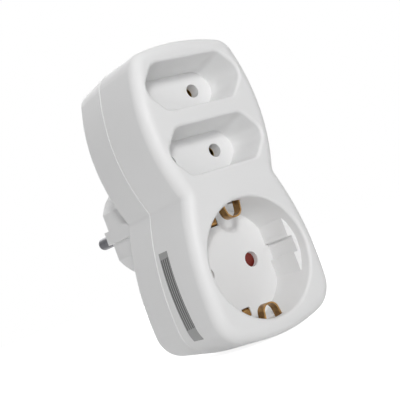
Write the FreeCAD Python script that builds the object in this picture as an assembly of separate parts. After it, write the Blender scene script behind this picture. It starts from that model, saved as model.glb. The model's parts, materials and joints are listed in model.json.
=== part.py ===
import FreeCAD, Part
import math
import os
from FreeCAD import Vector

os.makedirs("parts", exist_ok=True)

# Millimetres. X to the right and Z up as seen from the sockets, Y from the sockets towards the wall.
# The origin lies on the plug's end face, midway between the two pins.

# Plug
pin_pitch = 19.0
pin_d = 4.8
pin_length = 19.0
pin_root_d = 5.2
pin_root_rise = 0.3
pin_collar_d = 7.4
pin_collar_t = 1.6
pin_shank_d = 3.4
pin_clearance = 0.02
upset_t = 0.6
upset_edge = 0.9
boss_height = 17.5
boss_r = 18.5
boss_flat_x = 16.5
boss_wall = 2.2
boss_end_t = 3.0
boss_edge = 1.0
boss_rib_x = 18.1
boss_rib_height = 4.6

# Case outline in front view: four shallow arcs that meet in a waist, with round corners
top_z = 50.6
bottom_z = -49.3
top_arc_r = 74.0
bottom_arc_r = 65.0
upper_half = 24.3
upper_z = 24.6
upper_arc_r = 61.5
lower_half = 25.0
lower_z = -29.9
lower_arc_r = 90.7
top_corner_r = 7.5
bottom_corner_r = 11.0
waist_blend_r = 2.0

# Case in depth
front_depth = 21.5
rear_depth = 17.0
wall = 2.2
rear_wall_t = 2.0
front_draft = 0.7
rear_draft = 1.1
front_edge_r = 4.0
rear_edge_r = 1.6
seam_edge = 0.25
rim_r = 1.1
lip_height = 1.8
lip_t = 1.1
lip_root_t = 2.2
lip_clearance = 0.12

# Round earthed socket
round_z = -23.9
round_r = 19.5
round_depth = 17.5
round_draft = 0.25
round_floor_t = 2.0
round_wall = 1.6
guide_x = 17.1
guide_start = 4.8
guide_lead = 1.2
guide_slot = 5.5
guide_slot_depth = 1.3
round_hole_d = 5.2
sight_slot_half = 1.75
sight_slot_from = 14.2
sight_slot_to = 17.3
sight_gap = 0.12
sight_drop = 0.3

# Flat two-pin sockets, lower and upper
flat_z = (14.4, 35.75)
flat_depth = 15.2
flat_floor_t = 2.0
flat_wall = 1.5
mouth_half_height = 8.0
mouth_tip_x = 20.0
floor_half_height = 6.5
floor_tip_x = 19.2
flat_corner_x = 13.2
flat_corner_r = 4.0
flat_tip_r = 5.0
flat_hole_d = 4.7
guide_tube_r = 4.0

# Contacts and bus bars
bus_gap = 0.2
bus_t = 0.8
bus_width = 8.0
bus_rib_gap = 0.1
bus_rib_half = 0.8
bend_r = 0.6
round_bore_d = 4.84
flat_bore_d = 4.35
sleeve_wall = 0.7
sleeve_end_gap = 1.1
sleeve_flange_r = 4.2
sleeve_flange_t = 0.6
sleeve_slit = 0.7
sleeve_slit_length = 8.0
sleeve_mouth = 0.45
sleeve_mouth_depth = 1.0
fit = 0.03
cradle_height = 2.6
cradle_wall = 1.1
cradle_gap = 0.25

# Earthing
earth_t = 0.8
earth_width = 8.0
clip_t = 0.5
clip_width = 3.3
clip_depth = 4.9
clip_base_half = 3.7
clip_tip_half = 2.75
clip_tip_z = 14.4
clip_slot_margin = 0.4
clip_slot_lead = 2.0
clip_bend_gap = 0.4
clip_nose_r = 2.4
arm_start = 3.4
arm_gap = 0.2
arm_notch = 0.4
bridge_gap = 0.05
strap_width = 5.0
strap_t = 0.8
strap_end = 1.6
strap_gap = 0.1
strap_wall_gap = 0.9
rivet_d = 2.4
rivet_head_d = 4.2
rivet_head_t = 0.7
rivet_z = 4.0

# Shutter behind the round socket's floor
shutter_gap = 0.2
shutter_t = 1.8
shutter_arm_half = 3.2
shutter_reach = 13.0
shutter_hub_r = 4.2
shutter_ramp = 1.1
shutter_ramp_from = 0.8
shutter_land = 0.5
shutter_open = 40.0
pivot_d = 3.2
pivot_clearance = 0.05
pivot_hole_gap = 0.3
stop_radius = 11.5
stop_d = 2.0
anchor_d = 3.4
stop_gap = 0.12
spring_t = 0.3
spring_bend_r = 0.5
spring_grip = 2.1
spring_level = 0.5
spring_run = 1.6
spring_slope = (2.2, 3.4)
spring_tip_x = 11.0
spring_tail = (2.0, 0.8)
spring_drop = 0.2
spring_inset = 0.2
spring_margin = 0.25
keeper_r = 17.0
keeper_t = 2.5
keeper_hole_d = 5.6
keeper_post_r = 14.0
keeper_post_d = 4.6
keeper_post_angle = 130.0

# Screws
case_screw_d = 3.0
case_head_d = 5.6
case_head_t = 2.0
case_screw_length = 20.0
case_bore_depth = 4.0
case_post_r = 3.0
post_wall = 0.8
upper_post_inset = 7.0
lower_post_inset = 9.4
lower_post_lift = 7.1
keeper_screw_d = 2.2
keeper_head_d = 4.0
keeper_head_t = 1.2
keeper_screw_length = 4.2
screw_clearance = 0.05
head_gap = 0.2
pilot_spare = 0.2
point_length = 0.8
point_share = 0.4
head_edge_share = 0.3
cross_share = 0.64
cross_depth_share = 0.55
cross_w = 0.7

# How far a cutting tool runs past the material, and how far a fused piece reaches into it
past = 1.0
weld = 0.5

# Places that follow from the sizes above
back_y = -boss_height
seam_y = back_y - rear_depth
front_y = seam_y - front_depth
round_floor_y = front_y + round_depth
flat_floor_y = front_y + flat_depth
shutter_y = round_floor_y + round_floor_t + shutter_gap
keeper_y = shutter_y + shutter_t + shutter_gap
bus_y = keeper_y + keeper_t + bus_gap
rear_inner_y = back_y - rear_wall_t
sleeve_length = rear_inner_y - sleeve_end_gap - bus_y
upper_post = (upper_half - upper_post_inset, (flat_z[0] + flat_z[1]) / 2)
lower_post = (lower_half - lower_post_inset, bottom_z + lower_post_lift)
pin_x = pin_pitch / 2
arm_z = round_r + round_wall + arm_gap
Y_AXIS = Vector(0, 1, 0)


def rod(radius, x, z, y0, y1):
    return Part.makeCylinder(radius, y1 - y0, Vector(x, y0, z), Y_AXIS)


def cone(r0, r1, x, z, y0, y1):
    return Part.makeCone(r0, r1, y1 - y0, Vector(x, y0, z), Y_AXIS)


def block(x0, x1, y0, y1, z0, z1):
    return Part.makeBox(x1 - x0, y1 - y0, z1 - z0, Vector(x0, y0, z0))


def join(shapes):
    whole = shapes[0]
    if len(shapes) > 1:
        whole = shapes[0].multiFuse(shapes[1:])
    return whole.removeSplitter()


def cut_all(shape, tools):
    for tool in tools:
        shape = shape.cut(tool)
    return shape.removeSplitter()


def on_plane(plane, level, u, v):
    if plane == "xz":
        return Vector(u, level, v)
    if plane == "yz":
        return Vector(level, u, v)
    return Vector(u, v, level)


def normal(plane, length):
    return on_plane(plane, length, 0, 0)


def rounded(points, radii, plane, level):
    """Closed wire through the points, each corner rounded with its own radius."""
    stops = []
    count = len(points)
    for i in range(count):
        corner = Vector(points[i][0], points[i][1], 0)
        before = Vector(points[i - 1][0], points[i - 1][1], 0) - corner
        after = Vector(points[(i + 1) % count][0], points[(i + 1) % count][1], 0) - corner
        before.normalize()
        after.normalize()
        half = before.getAngle(after) / 2
        if radii[i] <= 0:
            stops.append((corner, None, corner))
            continue
        reach = radii[i] / math.tan(half)
        bisector = (before + after).normalize()
        middle = corner + bisector * (radii[i] / math.sin(half) - radii[i])
        stops.append((corner + before * reach, middle, corner + after * reach))
    edges = []
    for i in range(count):
        start, middle, end = [p and on_plane(plane, level, p.x, p.y) for p in stops[i]]
        if middle:
            edges.append(Part.Arc(start, middle, end).toShape())
        following = stops[(i + 1) % count][0]
        nxt = on_plane(plane, level, following.x, following.y)
        if (nxt - end).Length > 1e-6:
            edges.append(Part.LineSegment(end, nxt).toShape())
    return Part.Wire(edges)


def prism(points, radii, plane, level, length):
    face = Part.Face(rounded(points, radii, plane, level))
    return face.extrude(normal(plane, length))


def folded(path, thickness, inner_r, plane, level, length):
    """Sheet strip that follows a path, with its thickness to the left and round bends."""
    ways = []
    for a, b in zip(path, path[1:]):
        way = Vector(b[0] - a[0], b[1] - a[1], 0)
        ways.append(way.normalize())
    near = []
    far = []
    for i, (u, v) in enumerate(path):
        before = ways[max(i - 1, 0)]
        after = ways[min(i, len(ways) - 1)]
        side_a = Vector(-before.y, before.x, 0)
        side_b = Vector(-after.y, after.x, 0)
        miter = (side_a + side_b).normalize()
        step = thickness / miter.dot(side_a)
        turn = before.cross(after).z
        near_r, far_r = 0, 0
        if abs(turn) > 1e-6:
            outer_r = inner_r + abs(thickness)
            near_r, far_r = (outer_r, inner_r) if turn * thickness > 0 else (inner_r, outer_r)
        near.append(((u, v), near_r))
        far.append(((u + miter.x * step, v + miter.y * step), far_r))
    ring = near + far[::-1]
    return prism([p for p, r in ring], [r for p, r in ring], plane, level, length)


def circle_meet(c1, r1, c2, r2, upper):
    """Where two circles cross on the right-hand side; upper picks the higher crossing."""
    gap = math.hypot(c2[0] - c1[0], c2[1] - c1[1])
    along = (r1 * r1 - r2 * r2 + gap * gap) / (2 * gap)
    off = math.sqrt(r1 * r1 - along * along)
    ux, uz = (c2[0] - c1[0]) / gap, (c2[1] - c1[1]) / gap
    found = []
    for s in (-1, 1):
        found.append((c1[0] + along * ux - s * off * uz, c1[1] + along * uz + s * off * ux))
    found = [p for p in found if p[0] > 0] or found
    return max(found, key=lambda p: p[1] if upper else -p[1])


def outline(inset, y):
    """The case outline as one wire of tangent arcs, moved inwards by the inset."""
    top = (0, top_z - top_arc_r)
    upper = (upper_half - upper_arc_r, upper_z)
    lower = (lower_half - lower_arc_r, lower_z)
    bottom = (0, bottom_z + bottom_arc_r)
    top_r, upper_r = top_arc_r - inset, upper_arc_r - inset
    lower_r, bottom_r = lower_arc_r - inset, bottom_arc_r - inset
    corner_t, corner_b = top_corner_r - inset, bottom_corner_r - inset
    waist_r = waist_blend_r + inset
    corner_top = circle_meet(top, top_r - corner_t, upper, upper_r - corner_t, True)
    waist = circle_meet(upper, upper_r + waist_r, lower, lower_r + waist_r, True)
    corner_bottom = circle_meet(bottom, bottom_r - corner_b, lower, lower_r - corner_b, False)

    def touch(centre, radius, other):
        dx, dz = other[0] - centre[0], other[1] - centre[1]
        reach = radius / math.hypot(dx, dz)
        return (centre[0] + dx * reach, centre[1] + dz * reach)

    p = [touch(top, top_r, corner_top),
         touch(upper, upper_r, corner_top),
         touch(upper, upper_r, waist),
         touch(lower, lower_r, waist),
         touch(lower, lower_r, corner_bottom),
         touch(bottom, bottom_r, corner_bottom)]
    arcs = [(corner_top, corner_t, p[0], p[1]),
            (upper, upper_r, p[1], p[2]),
            (waist, waist_r, p[2], p[3]),
            (lower, lower_r, p[3], p[4]),
            (corner_bottom, corner_b, p[4], p[5])]
    edges = [three_point_arc((-p[0][0], p[0][1]), (0, top_z - inset), p[0], y)]
    for centre, radius, a, b in arcs:
        edges.append(three_point_arc(a, arc_middle(centre, radius, a, b), b, y))
    edges.append(three_point_arc(p[5], (0, bottom_z + inset), (-p[5][0], p[5][1]), y))
    for centre, radius, a, b in arcs[::-1]:
        m = arc_middle(centre, radius, a, b)
        edges.append(three_point_arc((-b[0], b[1]), (-m[0], m[1]), (-a[0], a[1]), y))
    return Part.Wire(edges)


def arc_middle(centre, radius, a, b):
    dx = (a[0] + b[0]) / 2 - centre[0]
    dz = (a[1] + b[1]) / 2 - centre[1]
    reach = radius / math.hypot(dx, dz)
    return (centre[0] + dx * reach, centre[1] + dz * reach)


def three_point_arc(a, m, b, y):
    return Part.Arc(*[Vector(q[0], y, q[1]) for q in (a, m, b)]).toShape()


def case_body(inset0, y0, inset1, y1):
    return Part.makeLoft([outline(inset0, y0), outline(inset1, y1)], True, True)


def edges_at(shape, y):
    return [e for e in shape.Edges if all(abs(v.Y - y) < 1e-4 for v in e.Vertexes)]


def bow(radius, sign):
    """Which side of the round socket a thing lies on: +1 above its centre, -1 below."""
    return round_z + sign * radius


def round_recess():
    """Hollow with a rounded rim and a drafted wall, narrowed at both sides by the slotted guides."""
    draft_y = front_y + guide_start - guide_lead
    hollow = join([rod(round_r, 0, round_z, front_y - past, draft_y),
                   cone(round_r, round_r - round_draft, 0, round_z, draft_y, round_floor_y)])
    hollow = rimmed(hollow, rod(round_r + 2 * rim_r, 0, round_z, front_y - past, front_y))
    for side in (-1, 1):
        hollow = hollow.cut(side_guide(side))
    return hollow


def rimmed(hollow, ahead):
    """Cutting tool that leaves a rounded rim at the front face; ahead is the wider space before it."""
    limit = hollow.BoundBox
    limit.enlarge(fit)
    hollow = join([hollow, ahead])
    rim = [e for e in edges_at(hollow, front_y) if limit.isInside(e.BoundBox)]
    return hollow.makeFillet(rim_r, rim)


def side_guide(side):
    """Flat on the pin axis with a sloped lead-in and a slot down its middle."""
    reach = round_r + past
    slope = [(side * guide_x, front_y + guide_start), (side * reach, front_y + guide_start - guide_lead),
             (side * reach, round_floor_y + past), (side * guide_x, round_floor_y + past)]
    flat = prism(slope, [0] * 4, "xy", round_z - round_r, 2 * round_r)
    slot_x = guide_x + guide_slot_depth
    slot = block(-slot_x, slot_x, front_y, round_floor_y + 2,
                 round_z - guide_slot / 2, round_z + guide_slot / 2)
    return flat.cut(slot)


def flat_outline(z, half_height, tip_x, grow, y):
    corner_x = flat_corner_x + grow / 2
    h = half_height + grow
    tip = tip_x + grow
    points = [(-tip, z), (-corner_x, z + h), (corner_x, z + h),
              (tip, z), (corner_x, z - h), (-corner_x, z - h)]
    radii = [flat_tip_r, flat_corner_r, flat_corner_r] * 2
    return rounded(points, radii, "xz", y)


def flat_hollow(z, grow, depth):
    mouth = flat_outline(z, mouth_half_height, mouth_tip_x, grow, front_y)
    end = flat_outline(z, floor_half_height, floor_tip_x, grow, front_y + depth)
    return Part.makeLoft([mouth, end], True, True)


def flat_recess(z):
    ahead = Part.Face(flat_outline(z, mouth_half_height, mouth_tip_x, 2 * rim_r, front_y - past))
    return rimmed(flat_hollow(z, 0, flat_depth), ahead.extrude(Y_AXIS))


def shutter_point(radius, degrees, offset=0.0):
    """A point on a shutter arm's centre line, or beside it, with the arm turned by degrees."""
    a = math.radians(degrees)
    x = radius * math.cos(a) - offset * math.sin(a)
    z = radius * math.sin(a) + offset * math.cos(a)
    return x, round_z + z


def keeper_posts():
    a = math.radians(keeper_post_angle)
    x, z = keeper_post_r * math.cos(a), keeper_post_r * math.sin(a)
    return [(x, round_z + z), (-x, round_z - z)]


def case_posts():
    return [(side * x, z) for x, z in (upper_post, lower_post) for side in (-1, 1)]


def bus_sockets():
    return [round_z, flat_z[0], flat_z[1]]


def bore_r(z):
    """Radius inside the contact sleeve of the socket at height z; flat sockets take thinner pins."""
    return (round_bore_d if z == round_z else flat_bore_d) / 2


def sleeve_r(z):
    return bore_r(z) + sleeve_wall


def make_front_cover():
    shell = case_body(0, seam_y, front_draft, front_y)
    shell = shell.makeFillet(front_edge_r, edges_at(shell, front_y))
    shell = shell.makeChamfer(seam_edge, edges_at(shell, seam_y))
    hollow = case_body(wall, seam_y, wall + front_draft, front_y + wall)
    cavity = case_body(wall, seam_y + past, wall, seam_y)
    shell = shell.cut(hollow.fuse(cavity))

    solids = [rod(round_r + round_wall, 0, round_z, front_y + wall / 2, round_floor_y + round_floor_t)]
    for z in flat_z:
        solids.append(flat_hollow(z, flat_wall, flat_depth + flat_floor_t))
    inside = case_body(wall / 2, seam_y, wall / 2 + front_draft, front_y + wall / 2)
    cups = join(solids).common(inside)
    posts = [rod(case_post_r, x, z, front_y + wall / 2, seam_y) for x, z in case_posts()]
    for z in flat_z:
        posts += [rod(guide_tube_r, s * pin_x, z, flat_floor_y, bus_y) for s in (-1, 1)]
    cover = join([shell, cups] + posts)

    behind = round_floor_y + round_floor_t
    extras = [rod(pivot_d / 2, 0, round_z, behind - weld, keeper_y + keeper_t)]
    extras += [rod(keeper_post_d / 2, x, z, behind - weld, keeper_y) for x, z in keeper_posts()]
    x, z = shutter_point(stop_radius, 0, -(shutter_arm_half + stop_d / 2 + stop_gap))
    extras.append(rod(stop_d / 2, x, z, behind - weld, keeper_y - shutter_gap / 2))
    x, z = anchor_place()
    extras.append(rod(anchor_d / 2, x, z, behind - weld, keeper_y - shutter_gap / 2))
    cover = join([cover] + extras)

    cuts = [round_recess()]
    for z in flat_z:
        cuts.append(flat_recess(z))
        cuts += [rod(flat_hole_d / 2, s * pin_x, z, flat_floor_y - past, bus_y + past) for s in (-1, 1)]
    cuts += [rod(round_hole_d / 2, s * pin_x, round_z, round_floor_y - past, behind + past) for s in (-1, 1)]
    for sign in (-1, 1):
        cuts.append(sight_slot(sign))
        cuts.append(clip_slot(sign))
    pilot = case_screw_d / 2 + screw_clearance
    cuts += [rod(pilot, x, z, case_screw_end() - past, seam_y + past) for x, z in case_posts()]
    pilot = keeper_screw_d / 2 + screw_clearance
    for x, z in keeper_posts():
        cuts.append(rod(pilot, x, z, keeper_screw_end() - pilot_spare, keeper_y + past))
    cuts.append(lip_ring(-lip_clearance, lip_t + 2 * lip_clearance, lip_height + lip_clearance))
    cuts.append(spring_slot())
    return cut_all(cover, cuts)


def sight_slot(sign):
    z0, z1 = sorted((bow(sight_slot_from, sign), bow(sight_slot_to, sign)))
    return block(-sight_slot_half, sight_slot_half, round_floor_y - past,
                 round_floor_y + round_floor_t + past, z0, z1)


def clip_slot(sign):
    half = clip_base_half + clip_slot_margin
    y0 = front_y + clip_depth - clip_slot_margin
    y1 = front_y + clip_depth + clip_width + clip_slot_margin
    z0, z1 = sorted((bow(round_r - clip_slot_lead, sign), bow(arm_z + earth_t + arm_gap / 2, sign)))
    return block(-half, half, y0, y1, z0, z1)


def lip_ring(gap, thickness, height):
    outer = case_body(wall + gap + lip_clearance, seam_y, wall + gap + lip_clearance, seam_y - height)
    inset = wall + gap + lip_clearance + thickness
    inner = case_body(inset, seam_y + past, inset, seam_y - height - past)
    return outer.cut(inner)


def case_screw_head_y():
    return back_y - case_bore_depth


def case_screw_end():
    return case_screw_head_y() - case_screw_length


def keeper_screw_end():
    return keeper_y + keeper_t - keeper_screw_length


def make_rear_cover():
    shell = case_body(0, seam_y, rear_draft, back_y)
    shell = shell.makeFillet(rear_edge_r, edges_at(shell, back_y))
    shell = shell.makeChamfer(seam_edge, edges_at(shell, seam_y))
    hollow = case_body(wall, seam_y, wall + rear_draft, rear_inner_y)
    shell = shell.cut(hollow)
    parts = [shell, lip_ring(0, lip_t, lip_height), lip_root()]
    boss = boss_solid(boss_r, boss_flat_x, back_y - wall, 0)
    boss = boss.makeChamfer(boss_edge, boss_end_edges(boss))
    parts.append(boss)
    for side in (-1, 1):
        parts.append(boss_rib(side))
    parts += [rod(case_post_r + post_wall, x, z, seam_y, back_y - wall / 2) for x, z in case_posts()]
    for z in bus_sockets():
        for side in (-1, 1):
            parts.append(rod(sleeve_r(z) + cradle_gap + cradle_wall, side * pin_x, z,
                             rear_inner_y - cradle_height, rear_inner_y + weld))
    rib_z = (flat_z[0] + flat_z[1]) / 2
    for side in (-1, 1):
        x0, x1 = sorted((side * (pin_x - bus_width / 2), side * (pin_x + bus_width / 2)))
        parts.append(block(x0, x1, bus_y + bus_t + bus_rib_gap, rear_inner_y + weld,
                           rib_z - bus_rib_half, rib_z + bus_rib_half))
    inside = case_body(wall / 2, seam_y - lip_height, wall / 2 + rear_draft, back_y)
    cover = join([parts[0], parts[1], parts[2], parts[3], parts[4], parts[5]]
                 + [p.common(inside) for p in parts[6:]])

    room = boss_solid(boss_r - boss_wall, boss_flat_x - boss_wall, rear_inner_y - weld, -boss_end_t)
    cuts = [room]
    for z in bus_sockets():
        for side in (-1, 1):
            cuts.append(rod(sleeve_r(z) + cradle_gap, side * pin_x, z,
                            rear_inner_y - cradle_height - past, rear_inner_y))
    cuts += [rod(pin_root_d / 2 + pin_clearance, s * pin_x, 0, -boss_end_t - past, past) for s in (-1, 1)]
    for x, z in case_posts():
        cuts.append(rod(case_screw_d / 2 + screw_clearance * 3, x, z, seam_y - lip_height - past, back_y))
        cuts.append(rod(case_head_d / 2 + head_gap, x, z, case_screw_head_y() - case_head_t, back_y + past))
    cuts += [strap_channel(sign) for sign in (-1, 1)]
    cuts.append(arm_notch_block())
    return cut_all(cover, cuts)


def lip_root():
    """Ledge that ties the lip to the rear wall just behind the seam."""
    outer = case_body(wall - weld, seam_y, wall - weld, seam_y + lip_root_t)
    inset = wall + lip_t + lip_clearance
    inner = case_body(inset, seam_y - past, inset, seam_y + lip_root_t + past)
    return outer.cut(inner)


def arm_notch_block():
    """Gap in the lip where the earth bridge's lower arm turns."""
    half = earth_width / 2 + arm_notch
    return block(-half, half, seam_y - lip_height - past, seam_y + lip_root_t + past,
                 bottom_z + wall + arm_notch / 2, bow(arm_z - past, -1))


def boss_solid(radius, flat_x, y0, y1):
    round_part = rod(radius, 0, 0, y0, y1)
    return round_part.common(block(-flat_x, flat_x, y0 - past, y1 + past, -radius - past, radius + past))


def boss_end_edges(boss):
    return edges_at(boss, 0)


def boss_rib(side):
    x0, x1 = sorted((side * (boss_flat_x - weld), side * boss_rib_x))
    return block(x0, x1, back_y - wall / 2, -boss_edge / 2, -boss_rib_height / 2, boss_rib_height / 2)


def strap_leg_z():
    return boss_r - strap_gap


def strap_channel(sign):
    """Groove along the boss and slot through the case wall for one leg of the earth strap."""
    half = strap_width / 2 + strap_gap
    z0, z1 = sorted((sign * (boss_r - strap_t - 2 * strap_gap), sign * (boss_r + past)))
    groove = block(-half, half, back_y - wall - past, -strap_end + strap_gap, z0, z1)
    return groove


def make_pin(side):
    x = side * pin_x
    r = pin_d / 2
    shaft = rod(r, x, 0, pin_root_rise, pin_length - r)
    root = rod(pin_root_d / 2, x, 0, -boss_end_t, pin_root_rise)
    tip = Part.makeSphere(r, Vector(x, pin_length - r, 0))
    collar = rod(pin_collar_d / 2, x, 0, -boss_end_t - pin_collar_t, -boss_end_t)
    foot = foot_y()
    shank = rod(pin_shank_d / 2, x, 0, foot - upset_t, -boss_end_t - pin_collar_t)
    head = rod(pin_shank_d / 2 + upset_edge, x, 0, foot - upset_t, foot)
    return join([shaft, tip, root, collar, shank, head])


def foot_y():
    """Front face of the bus bar's foot, which the pin's collar seats on."""
    return -boss_end_t - pin_collar_t - bus_t


def make_bus_bar(side):
    inner_x = pin_x - bus_width / 2
    half = bus_width / 2
    ends = [rod(half, pin_x, z, bus_y, bus_y + bus_t) for z in (round_z, flat_z[1])]
    strip = block(inner_x, pin_x + half, bus_y, bus_y + bus_t, round_z, flat_z[1])
    path = [(pin_x, bus_y), (inner_x, bus_y), (inner_x, foot_y() + bus_t), (pin_x + half, foot_y() + bus_t)]
    riser = folded(path[::-1], bus_t, bend_r, "xy", -half, bus_width)
    bar = join([strip, riser] + ends)
    cuts = [rod(sleeve_r(z) + fit, pin_x, z, bus_y - past, bus_y + bus_t + past) for z in bus_sockets()]
    cuts.append(rod(pin_shank_d / 2 + fit, pin_x, 0, foot_y() - past, foot_y() + bus_t + past))
    bar = cut_all(bar, cuts)
    if side < 0:
        bar = bar.mirror(Vector(0, 0, 0), Vector(1, 0, 0))
    return bar


def make_sleeve(side, z):
    x = side * pin_x
    y1 = bus_y + sleeve_length
    seat = bus_y + bus_t
    bore = bore_r(z)
    outer = sleeve_r(z)
    body = join([rod(outer, x, z, bus_y, y1),
                 rod(sleeve_flange_r, x, z, seat, seat + sleeve_flange_t)])
    hole = rod(bore, x, z, bus_y - past, y1 + past)
    mouth = cone(bore + sleeve_mouth, bore, x, z, bus_y, bus_y + sleeve_mouth_depth)
    half = sleeve_slit / 2
    reach = outer + past
    slit = block(x - half, x + half, y1 - sleeve_slit_length, y1 + past, z - reach, z + reach)
    return cut_all(body, [hole, mouth, slit])


def make_earth_bridge():
    """Stirrup behind and beside the round socket, with a tab back to the plug's strap."""
    half = earth_width / 2
    cross_y = keeper_y + bridge_gap
    arm_y = front_y + arm_start
    top = bow(arm_z, 1)
    low = bow(arm_z, -1)
    path = [(arm_y, top), (cross_y, top), (cross_y, low), (arm_y, low)]
    stirrup = folded(path, earth_t, bend_r, "yz", -half, earth_width)
    tab_end = strap_y()
    tab_path = [(cross_y - 2 * earth_t, top), (tab_end, top), (tab_end, rivet_z + half)]
    tab = folded(tab_path, earth_t, bend_r, "yz", -half, earth_width)
    bridge = join([stirrup, tab] + [sight_pad(sign, cross_y) for sign in (-1, 1)])
    cuts = [rod(pivot_d / 2 + pivot_hole_gap, 0, round_z, cross_y - past, cross_y + earth_t + past)]
    cuts.append(rod(rivet_d / 2 + fit, 0, rivet_z, tab_end - 3, tab_end + 3))
    for sign in (-1, 1):
        z0, z1 = sorted((bow(arm_z - past, sign), bow(arm_z + 2 * earth_t, sign)))
        y0 = front_y + clip_depth
        for side in (-1, 1):
            leg = clip_base_half - clip_t
            x0, x1 = sorted((side * (leg - fit), side * (clip_base_half + fit)))
            cuts.append(block(x0, x1, y0 - fit, y0 + clip_width + fit, z0, z1))
    return cut_all(bridge, cuts)


def sight_pad(sign, cross_y):
    """Tab of the stirrup that comes forward into the slot in the socket's floor and folds flat there."""
    half = sight_slot_half - sight_gap
    near_z = bow(sight_slot_from + sight_gap, sign)
    pad_y = round_floor_y + sight_drop
    path = [(cross_y + earth_t, near_z), (pad_y, near_z), (pad_y, bow(sight_slot_to - sight_gap, sign))]
    return folded(path, -sign * earth_t, bend_r / 2, "yz", -half, 2 * half)


def strap_y():
    """Front face of the earth strap's cross member, just inside the rear wall."""
    return rear_inner_y - strap_wall_gap - strap_t


def make_earth_clip(sign):
    """Sprung loop of strip: two legs out of the wall, joined by a round nose."""
    base = arm_z + earth_t
    path = [(-clip_base_half, base), (-clip_base_half, round_r + clip_bend_gap), (-clip_tip_half, clip_tip_z),
            (clip_tip_half, clip_tip_z), (clip_base_half, round_r + clip_bend_gap), (clip_base_half, base)]
    path = [(x, bow(z, sign)) for x, z in path]
    return folded(path, sign * clip_t, clip_nose_r, "xz", front_y + clip_depth, clip_width)


def make_earth_strap():
    """U-shaped strap: its legs lie in the boss's grooves, its cross member behind the wall."""
    half = strap_width / 2
    z = strap_leg_z()
    y0 = strap_y()
    path = [(-strap_end, z), (y0, z), (y0, -z), (-strap_end, -z)]
    strap = folded(path, strap_t, bend_r, "yz", -half, strap_width)
    return strap.cut(rod(rivet_d / 2 + fit, 0, rivet_z, y0 - past, y0 + strap_t + past))


def make_earth_rivet():
    y0 = strap_y() - earth_t
    y1 = strap_y() + strap_t
    return join([rod(rivet_d / 2, 0, rivet_z, y0 - rivet_head_t, y1 + rivet_head_t / 2),
                 rod(rivet_head_d / 2, 0, rivet_z, y0 - rivet_head_t, y0),
                 rod(rivet_head_d / 2, 0, rivet_z, y1, y1 + rivet_head_t / 2)])


def anchor_place():
    return shutter_point(stop_radius, shutter_open, shutter_arm_half + anchor_d / 2 + stop_gap)


def make_shutter():
    """Two-armed rotor whose sloped faces are pushed aside by two pins entering together."""
    y0, y1 = shutter_y, shutter_y + shutter_t
    arms = rod(shutter_reach, 0, round_z, y0, y1).common(
        block(-shutter_reach, shutter_reach, y0, y1, round_z - shutter_arm_half, round_z + shutter_arm_half))
    body = join([arms, rod(shutter_hub_r, 0, round_z, y0, y1)])
    ramp = [(y0, shutter_ramp_from), (y0 + shutter_ramp, -shutter_arm_half), (y0, -shutter_arm_half)]
    x_from = shutter_hub_r + shutter_land
    wedge = prism([(y, round_z + z) for y, z in ramp], [0] * 3, "yz", x_from, shutter_reach)
    other = wedge.copy()
    other.rotate(Vector(0, 0, round_z), Y_AXIS, 180)
    bore = rod(pivot_d / 2 + pivot_clearance, 0, round_z, y0 - past, y1 + past)
    return cut_all(body, [wedge, other, bore])


def spring_path():
    """Centre of the slotted post, out past it, down to the shutter's edge and a short turned-up tail."""
    x, z = anchor_place()
    rest_z = round_z + shutter_arm_half - spring_drop
    return [(x - spring_grip, z + spring_level),
            (x + spring_grip + spring_run, z + spring_level),
            (spring_tip_x + spring_slope[0], z - spring_slope[1]),
            (spring_tip_x, rest_z),
            (spring_tip_x - spring_tail[0], rest_z + spring_tail[1])]


def make_spring():
    width = shutter_t - 2 * spring_inset
    return folded(spring_path(), -spring_t, spring_bend_r, "xz", shutter_y + spring_inset, width)


def spring_slot():
    (x0, z0), (x1, z1) = spring_path()[:2]
    return block(x0 - 2 * spring_margin, x1, shutter_y + spring_inset - spring_margin,
                 shutter_y + shutter_t + spring_margin, z0 - spring_t - spring_margin, z0 + spring_margin)


def make_keeper():
    """Disc that holds the shutter and the stirrup against the socket's back."""
    disc = rod(keeper_r, 0, round_z, keeper_y, keeper_y + keeper_t)
    half = earth_width / 2 + arm_gap / 2
    depth = earth_t + bridge_gap
    reach = keeper_r + past
    y0, y1 = keeper_y - past, keeper_y + keeper_t + past
    cuts = [block(-half, half, y0, keeper_y + depth, round_z - reach, round_z + reach)]
    cuts += [rod(keeper_hole_d / 2, s * pin_x, round_z, y0, y1) for s in (-1, 1)]
    cuts.append(rod(pivot_d / 2 + 2 * pivot_clearance, 0, round_z, y0, y1))
    for x, z in keeper_posts():
        cuts.append(rod(keeper_screw_d / 2 + 2 * screw_clearance, x, z, y0, y1))
        cuts.append(rod(keeper_head_d / 2 + head_gap, x, z, keeper_y + keeper_t - keeper_head_t, y1))
    return cut_all(disc, cuts)


def screw(x, z, head_y, head_d, head_t, shank_d, length):
    """Pan-head screw that enters towards the sockets; its thread is left plain."""
    head = rod(head_d / 2, x, z, head_y - head_t, head_y)
    head = head.makeChamfer(head_t * head_edge_share, edges_at(head, head_y))
    shank = rod(shank_d / 2, x, z, head_y - length + point_length, head_y - head_t)
    point = cone(point_share * shank_d / 2, shank_d / 2, x, z, head_y - length, head_y - length + point_length)
    body = join([head, shank, point])
    arm = cross_share * head_d / 2
    depth = head_t * cross_depth_share
    slots = [block(x - arm, x + arm, head_y - depth, head_y + past, z - cross_w / 2, z + cross_w / 2),
             block(x - cross_w / 2, x + cross_w / 2, head_y - depth, head_y + past, z - arm, z + arm)]
    return cut_all(body, slots)


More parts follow.
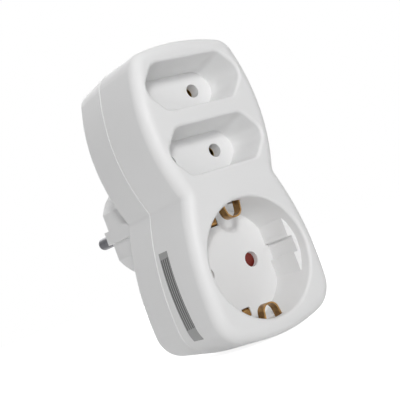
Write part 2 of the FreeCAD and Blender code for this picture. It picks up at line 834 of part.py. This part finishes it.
def nodes():
    made = {"front_cover": make_front_cover(), "rear_cover": make_rear_cover()}
    for side, hand in ((-1, "left"), (1, "right")):
        made["plug_pin_" + hand] = make_pin(side)
        made["bus_bar_" + hand] = make_bus_bar(side)
        for name, z in (("round", round_z), ("lower_flat", flat_z[0]), ("upper_flat", flat_z[1])):
            made[name + "_contact_" + hand] = make_sleeve(side, z)
    made["earth_bridge"] = make_earth_bridge()
    made["earth_clip_top"] = make_earth_clip(1)
    made["earth_clip_bottom"] = make_earth_clip(-1)
    made["plug_earth_strap"] = make_earth_strap()
    made["earth_rivet"] = make_earth_rivet()
    made["safety_shutter"] = make_shutter()
    made["shutter_spring"] = make_spring()
    made["shutter_keeper"] = make_keeper()
    for (x, z), name in zip(keeper_posts(), ("upper", "lower")):
        made["keeper_screw_" + name] = screw(x, z, keeper_y + keeper_t, keeper_head_d, keeper_head_t,
                                             keeper_screw_d, keeper_screw_length)
    places = ("upper_left", "upper_right", "lower_left", "lower_right")
    for (x, z), name in zip(case_posts(), places):
        made["case_screw_" + name] = screw(x, z, case_screw_head_y(), case_head_d, case_head_t,
                                           case_screw_d, case_screw_length)
    return made


for name, shape in nodes().items():
    print(name, len(shape.Solids), round(shape.Volume, 1), shape.isValid())
    shape.exportStep("parts/" + name + ".step")
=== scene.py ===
import json
import math
import bmesh
import bpy
from mathutils import Matrix, Vector


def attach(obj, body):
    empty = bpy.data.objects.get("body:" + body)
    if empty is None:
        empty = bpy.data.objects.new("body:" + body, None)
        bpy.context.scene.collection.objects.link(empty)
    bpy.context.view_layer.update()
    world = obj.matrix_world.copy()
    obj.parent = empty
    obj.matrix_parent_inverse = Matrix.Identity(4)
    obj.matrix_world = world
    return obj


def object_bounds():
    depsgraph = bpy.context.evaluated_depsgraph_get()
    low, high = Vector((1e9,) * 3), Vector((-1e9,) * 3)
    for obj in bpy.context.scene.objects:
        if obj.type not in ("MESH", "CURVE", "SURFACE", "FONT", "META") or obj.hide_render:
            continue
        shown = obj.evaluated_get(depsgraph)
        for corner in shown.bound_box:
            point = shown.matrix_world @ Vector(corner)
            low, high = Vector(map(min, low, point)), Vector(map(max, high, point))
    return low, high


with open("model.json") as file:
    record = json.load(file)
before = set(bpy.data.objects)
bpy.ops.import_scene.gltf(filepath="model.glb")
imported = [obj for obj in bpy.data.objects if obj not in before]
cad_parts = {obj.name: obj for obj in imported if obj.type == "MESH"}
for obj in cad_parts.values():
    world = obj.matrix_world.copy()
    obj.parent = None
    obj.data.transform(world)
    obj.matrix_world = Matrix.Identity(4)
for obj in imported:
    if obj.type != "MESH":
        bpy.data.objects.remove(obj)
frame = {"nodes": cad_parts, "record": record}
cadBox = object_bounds()
nodes = frame["nodes"]
print("frame loaded:", len(nodes), "nodes")

mm = 0.001


def linear(hexColour):
    # sRGB hex to the linear colour that a shader socket takes
    parts = [int(hexColour[i:i + 2], 16) / 255 for i in (1, 3, 5)]
    return [c / 12.92 if c <= 0.04045 else ((c + 0.055) / 1.055) ** 2.4 for c in parts] + [1]


def addNode(tree, kind, settings=None, inputs=None, links=None):
    # one node with its settings, its socket values and its incoming links
    node = tree.nodes.new(kind)
    for name, value in (settings or {}).items():
        setattr(node, name, value)
    for name, value in (inputs or {}).items():
        node.inputs[name].default_value = value
    for name, socket in (links or {}).items():
        tree.links.new(socket, node.inputs[name])
    return node


def newMaterial(name):
    material = bpy.data.materials.new(name)
    material.use_nodes = True
    material.node_tree.nodes.clear()
    return material, material.node_tree


def finishMaterial(tree, shaderSocket):
    addNode(tree, "ShaderNodeOutputMaterial", links={"Surface": shaderSocket})


caseAbs = {
    "colour": "#f0f0f0",       # titanium-white ABS
    "roughness": 0.5,          # fine matt tool surface, a soft broad highlight
    "ior": 1.54,
    "grainMm": 0.35,           # spark-eroded tool texture, drawn coarser than the real 0.05 mm
    "grainDepthMm": 0.004,
    "rippleMm": 9.0,           # slow unevenness from shrinkage over the ribs
    "rippleDepthMm": 0.012,
}


def mouldedPlastic(name, look):
    # injection-moulded plastic: one even colour with a soft broad sheen and a barely visible grain
    material, tree = newMaterial(name)
    place = addNode(tree, "ShaderNodeTexCoord")
    grain = addNode(tree, "ShaderNodeTexNoise", inputs={"Scale": 1 / (look["grainMm"] * mm), "Detail": 2.0},
                    links={"Vector": place.outputs["Object"]})
    ripple = addNode(tree, "ShaderNodeTexNoise", inputs={"Scale": 1 / (look["rippleMm"] * mm), "Detail": 1.0},
                     links={"Vector": place.outputs["Object"]})
    slow = addNode(tree, "ShaderNodeBump", inputs={"Strength": 1.0, "Distance": look["rippleDepthMm"] * mm},
                   links={"Height": ripple.outputs["Fac"]})
    fine = addNode(tree, "ShaderNodeBump", inputs={"Strength": 1.0, "Distance": look["grainDepthMm"] * mm},
                   links={"Height": grain.outputs["Fac"], "Normal": slow.outputs["Normal"]})
    surface = {"Base Color": linear(look["colour"]), "Roughness": look["roughness"], "IOR": look["ior"]}
    shader = addNode(tree, "ShaderNodeBsdfPrincipled", inputs=surface,
                     links={"Normal": fine.outputs["Normal"]})
    finishMaterial(tree, shader.outputs["BSDF"])
    return material


whiteAbs = mouldedPlastic("white_abs_moulded", caseAbs)

shutterPlastic = {
    "colour": "#7c281d",       # brick-red polyamide
    "roughness": 0.45,
    "ior": 1.53,
    "grainMm": 0.4,
    "grainDepthMm": 0.006,
    "rippleMm": 6.0,
    "rippleDepthMm": 0.01,
}
redPolyamide = mouldedPlastic("red_polyamide_moulded", shutterPlastic)


# the dull patches are tarnish; the edge settings paint a highlight along every edge, which also stands for
# rubbed wear
patchesAndEdgeHighlight = {
    "dullBelow": 0.35,         # where the cloud noise is the dull colour, and where the bright one
    "brightAbove": 0.65,
    "edgeStarts": 0.98,        # cosine between the true and the rounded normal where an edge starts to shine
    "edgeFull": 0.8,
    "bevelRays": 4,
}


def platedMetal(name, look):
    # plated or rolled strip: a metal with slow cloudy patches where it has dulled, and edges painted lighter:
    # a painted highlight along every edge that also stands for rubbed wear
    material, tree = newMaterial(name)
    place = addNode(tree, "ShaderNodeTexCoord")
    cloud = addNode(tree, "ShaderNodeTexNoise", inputs={"Scale": 1 / (look["patchMm"] * mm), "Detail": 3.0},
                    links={"Vector": place.outputs["Object"]})
    ramp = addNode(tree, "ShaderNodeValToRGB", links={"Fac": cloud.outputs["Fac"]})
    ramp.color_ramp.elements[0].position = patchesAndEdgeHighlight["dullBelow"]
    ramp.color_ramp.elements[0].color = linear(look["dull"])
    ramp.color_ramp.elements[1].position = patchesAndEdgeHighlight["brightAbove"]
    ramp.color_ramp.elements[1].color = linear(look["colour"])
    # edges painted lighter than the faces: a painted highlight that also stands for rubbed wear
    soft = addNode(tree, "ShaderNodeBevel", {"samples": patchesAndEdgeHighlight["bevelRays"]},
                   inputs={"Radius": look["edgeMm"] * mm})
    flat = addNode(tree, "ShaderNodeNewGeometry")
    same = addNode(tree, "ShaderNodeVectorMath", {"operation": "DOT_PRODUCT"},
                   links={0: soft.outputs["Normal"], 1: flat.outputs["Normal"]})
    edgeWearAndHighlight = addNode(tree, "ShaderNodeMapRange", links={0: same.outputs["Value"]},
                   inputs={1: patchesAndEdgeHighlight["edgeStarts"], 2: patchesAndEdgeHighlight["edgeFull"], 3: 0.0, 4: 1.0})
    tint = addNode(tree, "ShaderNodeMix", {"data_type": "RGBA"},
                   links={0: edgeWearAndHighlight.outputs[0], 6: ramp.outputs["Color"]})
    tint.inputs[7].default_value = linear(look["edge"])
    scratch = addNode(tree, "ShaderNodeTexNoise", links={"Vector": place.outputs["Object"]},
                      inputs={"Scale": 1 / (look["scratchMm"] * mm), "Detail": 2.0})
    bump = addNode(tree, "ShaderNodeBump", inputs={"Strength": 1.0, "Distance": look["scratchDepthMm"] * mm},
                   links={"Height": scratch.outputs["Fac"]})
    shader = addNode(tree, "ShaderNodeBsdfPrincipled",
                     inputs={"Metallic": 1.0, "Roughness": look["roughness"]},
                     links={"Base Color": tint.outputs[2], "Normal": bump.outputs["Normal"]})
    finishMaterial(tree, shader.outputs["BSDF"])
    return material


# each metal's edge colour is its painted edge highlight, which also stands for rubbed wear
metals = {
    # the pin's colours are painted much darker than the nickel strip's: a painted dark reflection on the
    # plated pins
    "nickel_pin_painted_dark_reflection": {
        "colour": "#58585c", "dull": "#4a4a4e", "edge": "#66666a", "edgeMm": 0.12,
        "roughness": 0.28, "patchMm": 3.0, "scratchMm": 0.3, "scratchDepthMm": 0.003,
    },
    "nickel_plated_strip": {
        "colour": "#b4b4b2", "dull": "#9d9d9b", "edge": "#c6c6c4", "edgeMm": 0.12,
        "roughness": 0.35, "patchMm": 3.0, "scratchMm": 0.3, "scratchDepthMm": 0.004,
    },
    "brass_stamped_strip": {
        "colour": "#c9a35c", "dull": "#b08a48", "edge": "#dcbd80", "edgeMm": 0.12,
        "roughness": 0.32, "patchMm": 4.0, "scratchMm": 0.3, "scratchDepthMm": 0.004,
    },
    "phosphor_bronze_tarnished": {
        "colour": "#ad8654", "dull": "#80603a", "edge": "#d9b67c", "edgeMm": 0.12,
        "roughness": 0.30, "patchMm": 1.6, "scratchMm": 0.25, "scratchDepthMm": 0.004,
    },
    "spring_steel_rolled": {
        "colour": "#9b9ca0", "dull": "#86878b", "edge": "#adaeb2", "edgeMm": 0.12,
        "roughness": 0.3, "patchMm": 2.0, "scratchMm": 0.2, "scratchDepthMm": 0.002,
    },
    "steel_zinc_plated": {
        "colour": "#b9bcc2", "dull": "#a3a39c", "edge": "#cdd0d4", "edgeMm": 0.12,
        "roughness": 0.36, "patchMm": 1.5, "scratchMm": 0.2, "scratchDepthMm": 0.003,
    },
}
metalMaterials = {name: platedMetal(name, look) for name, look in metals.items()}

finishes = {
    "white_shell": whiteAbs,
    "red_shutter": redPolyamide,
    "plated_pin": metalMaterials["nickel_pin_painted_dark_reflection"],
    "plated_strip": metalMaterials["nickel_plated_strip"],
    "brass_strip": metalMaterials["brass_stamped_strip"],
    "bronze_clip": metalMaterials["phosphor_bronze_tarnished"],
    "spring_steel": metalMaterials["spring_steel_rolled"],
    "screw_steel": metalMaterials["steel_zinc_plated"],
}
for part in frame["record"]["subparts"]:
    slots = nodes[part["node"]].data.materials
    slots.clear()
    slots.append(finishes[part["material_slot"]])


def newPiece(name, shape, material):
    mesh = bpy.data.meshes.new(name)
    bmesh.ops.recalc_face_normals(shape, faces=shape.faces)
    shape.to_mesh(mesh)
    shape.free()
    mesh.materials.append(material)
    piece = bpy.data.objects.new(name, mesh)
    bpy.context.scene.collection.objects.link(piece)
    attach(piece, "adapter")


film = {
    # corners on the case's left side as (depth behind the front face, height), all mm
    "rearTop": (19.2, -12.1), "frontTop": (14.4, -12.0), "rearLow": (16.8, -41.3), "frontLow": (11.7, -41.4),
    "steps": (30, 6),          # faces down the strip and across it
    "startMm": 10,             # how far outside the case each ray starts
    "raisedMm": 0.015,
    "thicknessMm": 0.05,
    "colour": "#9c9c9c",       # clear film that dulls the white under it
    "ink": "#454545",
    "roughness": 0.42,
    "ior": 1.57,
    "ruleMm": 1.08,            # pitch of the plain printed rules
    "ruleShare": 0.62,
    "inkFromMm": 2.2,          # bare at the top of the strip
    "inkToMm": 25.5,
}
frontFaceY = cadBox[0][1]


def filmSpot(across, along):
    # a point of the strip, pressed onto the case's side
    rear = [film["rearTop"][i] + (film["rearLow"][i] - film["rearTop"][i]) * along for i in (0, 1)]
    front = [film["frontTop"][i] + (film["frontLow"][i] - film["frontTop"][i]) * along for i in (0, 1)]
    depth, height = [rear[i] + (front[i] - rear[i]) * across for i in (0, 1)]
    start = Vector((cadBox[0][0] - film["startMm"] * mm, frontFaceY + depth * mm, height * mm))
    spot, normal = nodes["front_cover"].ray_cast(start, Vector((1, 0, 0)))[1:3]
    return spot + normal * film["raisedMm"] * mm


def ruledFilm(name, look):
    # grey polyester film with plain printed rules and no lettering
    material, tree = newMaterial(name)
    top = Vector((0, film["rearTop"][0], film["rearTop"][1])) * mm + Vector((0, frontFaceY, 0))
    low = Vector((0, film["rearLow"][0], film["rearLow"][1])) * mm + Vector((0, frontFaceY, 0))
    along = (low - top).normalized()
    across = Vector((0, along.z, -along.y))
    if across.y > 0:
        across = -across
    place = addNode(tree, "ShaderNodeTexCoord")
    shifted = addNode(tree, "ShaderNodeVectorMath", {"operation": "SUBTRACT"}, inputs={1: top},
                      links={0: place.outputs["Object"]})
    down = addNode(tree, "ShaderNodeVectorMath", {"operation": "DOT_PRODUCT"}, inputs={1: along / mm},
                   links={0: shifted.outputs[0]})
    over = addNode(tree, "ShaderNodeVectorMath", {"operation": "DOT_PRODUCT"}, inputs={1: across / mm},
                   links={0: shifted.outputs[0]})
    rules = addNode(tree, "ShaderNodeMath", {"operation": "DIVIDE"}, inputs={1: look["ruleMm"]},
                    links={0: over.outputs["Value"]})
    rules = addNode(tree, "ShaderNodeMath", {"operation": "FRACT"}, links={0: rules.outputs[0]})
    rules = addNode(tree, "ShaderNodeMath", {"operation": "GREATER_THAN"}, inputs={1: 1 - look["ruleShare"]},
                    links={0: rules.outputs[0]})
    begin = addNode(tree, "ShaderNodeMath", {"operation": "GREATER_THAN"}, inputs={1: look["inkFromMm"]},
                    links={0: down.outputs["Value"]})
    finish = addNode(tree, "ShaderNodeMath", {"operation": "LESS_THAN"}, inputs={1: look["inkToMm"]},
                     links={0: down.outputs["Value"]})
    inked = addNode(tree, "ShaderNodeMath", {"operation": "MULTIPLY"},
                    links={0: begin.outputs[0], 1: finish.outputs[0]})
    inked = addNode(tree, "ShaderNodeMath", {"operation": "MULTIPLY"},
                    links={0: inked.outputs[0], 1: rules.outputs[0]})
    tint = addNode(tree, "ShaderNodeMix", {"data_type": "RGBA"}, links={0: inked.outputs[0]})
    tint.inputs[6].default_value = linear(look["colour"])
    tint.inputs[7].default_value = linear(look["ink"])
    shader = addNode(tree, "ShaderNodeBsdfPrincipled", links={"Base Color": tint.outputs[2]},
                     inputs={"Roughness": look["roughness"], "IOR": look["ior"]})
    finishMaterial(tree, shader.outputs["BSDF"])
    return material


shape = bmesh.new()
bmesh.ops.create_grid(shape, x_segments=film["steps"][1], y_segments=film["steps"][0], size=0.5)
for corner in shape.verts:
    corner.co = filmSpot(corner.co.x + 0.5, 0.5 - corner.co.y)
bmesh.ops.recalc_face_normals(shape, faces=shape.faces)
bmesh.ops.solidify(shape, geom=shape.faces[:], thickness=film["thicknessMm"] * mm)
newPiece("rating_film_blank", shape, ruledFilm("polyester_film_grey", film))

liner = {
    # rolled neck of each flat contact, which lines the hole behind the socket's floor; all mm
    "outerR": 2.33,
    "wall": 0.15,
    "from": 19.3,
    "to": 24.2,
    "segments": 40,
    "pinX": 9.5,
    "heights": {"lower_flat": 14.4, "upper_flat": 35.75},
}
for level, height in liner["heights"].items():
    for hand, side in (("left", -1), ("right", 1)):
        shape = bmesh.new()
        rings = []
        for radius, depth in ((liner["outerR"], liner["from"]), (liner["outerR"], liner["to"]),
                              (liner["outerR"] - liner["wall"], liner["to"]),
                              (liner["outerR"] - liner["wall"], liner["from"])):
            made = bmesh.ops.create_circle(shape, segments=liner["segments"], radius=radius * mm)
            turned = Matrix.Rotation(math.radians(90), 4, "X")
            bmesh.ops.transform(shape, matrix=turned, verts=made["verts"])
            centre = Vector((side * liner["pinX"] * mm, frontFaceY + depth * mm, height * mm))
            bmesh.ops.translate(shape, vec=centre, verts=made["verts"])
            rings.append([e for e in shape.edges if all(v in made["verts"] for v in e.verts)])
        for a, b in ((0, 1), (1, 2), (2, 3), (3, 0)):
            bmesh.ops.bridge_loops(shape, edges=rings[a] + rings[b])
        newPiece(level + "_contact_neck_" + hand, shape, metalMaterials["brass_stamped_strip"])
print("film and contact necks made")

studio = {
    "floorSize": 6.0,
    "floorColour": "#f4f4f4",
    "nearLift": 0.82,          # added for the camera only, so that the lit floor reads as white
    "farLift": 1.0,
    "liftReach": (0.15, 0.6),  # metres from the object where the lift starts and ends growing
    "skyLight": 0.075,
}
# each lamp: degrees to the right of the sockets' axis, degrees up, distance and side in metres, watts
lamps = {
    "key_light": (-27, 13, 1.0, 0.15, 4.4),
    "left_light": (-62, 40, 0.45, 0.15, 0.07),
    "low_left_fill": (-30, -15, 1.0, 0.8, 0.4),
    "top_light": (0, 80, 1.0, 0.8, 3.3),
    "back_light": (165, 20, 1.0, 0.8, 4.2),
}


def seenDirectly(tree):
    # 1 where the camera looks, also in a mirror or through glass, and 0 for the light on other surfaces
    ray = addNode(tree, "ShaderNodeLightPath")
    seen = ray.outputs["Is Camera Ray"]
    for kind in ("Is Glossy Ray", "Is Transmission Ray"):
        larger = addNode(tree, "ShaderNodeMath", {"operation": "MAXIMUM"},
                         links={0: seen, 1: ray.outputs[kind]})
        seen = larger.outputs[0]
    return seen


floorMesh = bpy.data.meshes.new("floor")
half = studio["floorSize"] / 2
floorZ = cadBox[0][2]
floorCorners = [(-half, -half, floorZ), (half, -half, floorZ), (half, half, floorZ), (-half, half, floorZ)]
floorMesh.from_pydata(floorCorners, [], [(0, 1, 2, 3)])
floor = bpy.data.objects.new("floor", floorMesh)
bpy.context.scene.collection.objects.link(floor)

floorMaterial, tree = newMaterial("white_paper_sweep")
place = addNode(tree, "ShaderNodeTexCoord")
away = addNode(tree, "ShaderNodeVectorMath", {"operation": "LENGTH"}, links={0: place.outputs["Object"]})
grown = addNode(tree, "ShaderNodeMapRange",
                inputs={1: studio["liftReach"][0], 2: studio["liftReach"][1],
                        3: studio["nearLift"], 4: studio["farLift"]},
                links={0: away.outputs["Value"]})
lift = addNode(tree, "ShaderNodeMath", {"operation": "MULTIPLY"},
               links={0: seenDirectly(tree), 1: grown.outputs[0]})
paper = addNode(tree, "ShaderNodeBsdfDiffuse", inputs={"Color": linear(studio["floorColour"])})
glow = addNode(tree, "ShaderNodeEmission", links={"Strength": lift.outputs[0]})
both = addNode(tree, "ShaderNodeAddShader", links={0: paper.outputs[0], 1: glow.outputs[0]})
finishMaterial(tree, both.outputs[0])
floorMesh.materials.append(floorMaterial)

world = bpy.data.worlds.new("white_studio")
bpy.context.scene.world = world
world.use_nodes = True
tree = world.node_tree
tree.nodes.clear()
light = addNode(tree, "ShaderNodeBackground", inputs={"Strength": studio["skyLight"]})
backdrop = addNode(tree, "ShaderNodeBackground", inputs={"Strength": 1.0})
for node in (light, backdrop):
    node.inputs["Color"].default_value = (1, 1, 1, 1)
mixed = addNode(tree, "ShaderNodeMixShader",
                links={0: seenDirectly(tree), 1: light.outputs[0], 2: backdrop.outputs[0]})
addNode(tree, "ShaderNodeOutputWorld", links={"Surface": mixed.outputs[0]})

middle = (Vector(cadBox[0]) + Vector(cadBox[1])) / 2


def softbox(name, turn, height, distance, size, power):
    data = bpy.data.lights.new(name, "AREA")
    data.shape = "SQUARE"
    data.size = size
    data.energy = power
    lamp = bpy.data.objects.new(name, data)
    turn, height = math.radians(turn), math.radians(height)
    way = Vector((math.sin(turn) * math.cos(height), -math.cos(turn) * math.cos(height), math.sin(height)))
    lamp.location = middle + way * distance
    lamp.rotation_euler = (-way).to_track_quat("-Z", "Y").to_euler()
    bpy.context.scene.collection.objects.link(lamp)


for name, setting in lamps.items():
    softbox(name, *setting)
print("studio lit")

view = {
    "place": (-0.17718, -0.27756, -0.01980),
    "right": (0.7688, -0.5347, -0.3509),
    "up": (0.2464, -0.2587, 0.9340),
    "lensMm": 81.49,
    "sensorMm": 36.0,
    "nearestMm": 10,
}
right = Vector(view["right"]).normalized()
back = right.cross(Vector(view["up"])).normalized()
up = back.cross(right)
turn = Matrix((right, up, back)).transposed()
cameraData = bpy.data.cameras.new("camera")
cameraData.lens = view["lensMm"]
cameraData.sensor_width = view["sensorMm"]
cameraData.clip_start = view["nearestMm"] * mm
camera = bpy.data.objects.new("camera", cameraData)
camera.matrix_world = Matrix.Translation(view["place"]) @ turn.to_4x4()
bpy.context.scene.collection.objects.link(camera)
bpy.context.scene.camera = camera
bpy.context.scene.view_settings.view_transform = "Standard"
